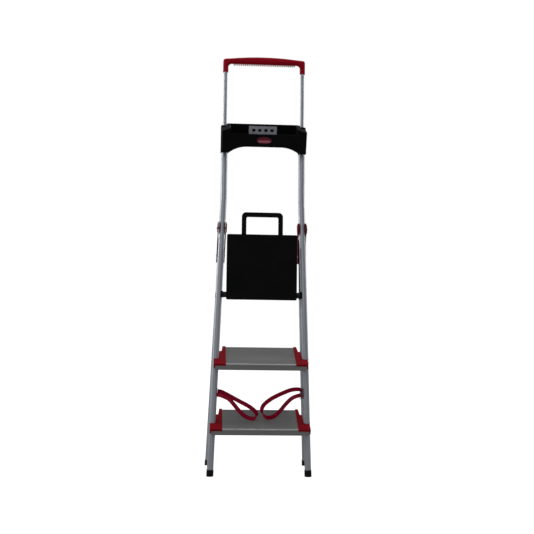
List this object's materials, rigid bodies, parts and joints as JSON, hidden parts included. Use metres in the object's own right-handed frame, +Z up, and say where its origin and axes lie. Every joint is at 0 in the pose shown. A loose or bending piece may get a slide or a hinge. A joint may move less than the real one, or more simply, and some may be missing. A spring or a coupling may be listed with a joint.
{
  "type": "step ladder",
  "caption": "Folding household step ladder with treads, a hinged platform, a tool tray and a telescopic guard rail with a moulded grip",
  "frame": {"origin": "on the floor, under the middle of the outline of the ladder as stored, part folded on its four feet", "axes": "+Z up, -Y towards the climbing side, +X to the right of a person facing the climbing side"},
  "size_m": [0.4204, 0.2366, 1.6395],
  "materials": {
    "frame": "satin silver coating",
    "foot": "matte",
    "tread": "satin grey with fine ribs",
    "red_plastic": "satin",
    "rivet": "plain",
    "tray": "satin",
    "plate": "satin",
    "badge": "gloss",
    "screw": "black",
    "bush": "matte",
    "black_tube": "satin black",
    "webbing": "woven",
    "panel": "satin",
    "rail": "satin silver coating"
  },
  "bodies": {
    "front_frame": {"stile_left": "frame", "stile_right": "frame", "front_foot_left": "foot", "front_foot_right": "foot", "tread_lower": "tread", "tread_upper": "tread", "cap_lower_left": "red_plastic", "cap_lower_right": "red_plastic", "cap_upper_left": "red_plastic", "cap_upper_right": "red_plastic", "tread_rivets": "rivet", "tray": "tray", "tray_plate": "plate", "tray_badge": "badge", "tray_screws": "screw", "rail_bush_left": "bush", "rail_bush_right": "bush", "platform_tube": "black_tube", "tube_saddle_left": "bush", "tube_saddle_right": "bush", "pivot_pin_left": "rivet", "pivot_pin_right": "rivet", "strap_left": "webbing", "strap_right": "webbing", "front_strap_anchors": "rivet"},
    "rear_frame": {"bracket_left": "red_plastic", "bracket_right": "red_plastic", "rear_arm_left": "black_tube", "rear_arm_right": "black_tube", "rear_leg_left": "frame", "rear_leg_right": "frame", "rear_bar": "black_tube", "rear_brace_upper": "frame", "rear_brace_lower": "frame", "rear_foot_left": "foot", "rear_foot_right": "foot", "bracket_rivets": "rivet", "rear_strap_anchors": "rivet"},
    "platform": {"platform_panel": "panel", "platform_bail": "panel", "hinge_clip_left": "bush", "hinge_clip_right": "bush", "platform_screws": "screw"},
    "guard_rail": {"rail_tube_left": "rail", "rail_tube_right": "rail", "rail_glide_left": "bush", "rail_glide_right": "bush", "grip": "red_plastic", "grip_rivets": "rivet"}
  },
  "joints": [
    {"name": "rear_hinge", "type": "hinge", "parent": "front_frame", "child": "rear_frame", "pos_m": [0, 0.01287, 0.9516], "axis": [1, 0, 0], "range_deg": [-9, 37], "deforming": ["strap_left", "strap_right"]},
    {"name": "platform_hinge", "type": "hinge", "parent": "front_frame", "child": "platform", "pos_m": [0, -0.01205, 0.6928], "axis": [-1, 0, 0], "range_deg": [0, 66]},
    {"name": "rail_slide", "type": "slide", "parent": "front_frame", "child": "guard_rail", "axis": [0, 0.0958, 0.9954], "range_m": [-0.21, 0]}
  ]
}
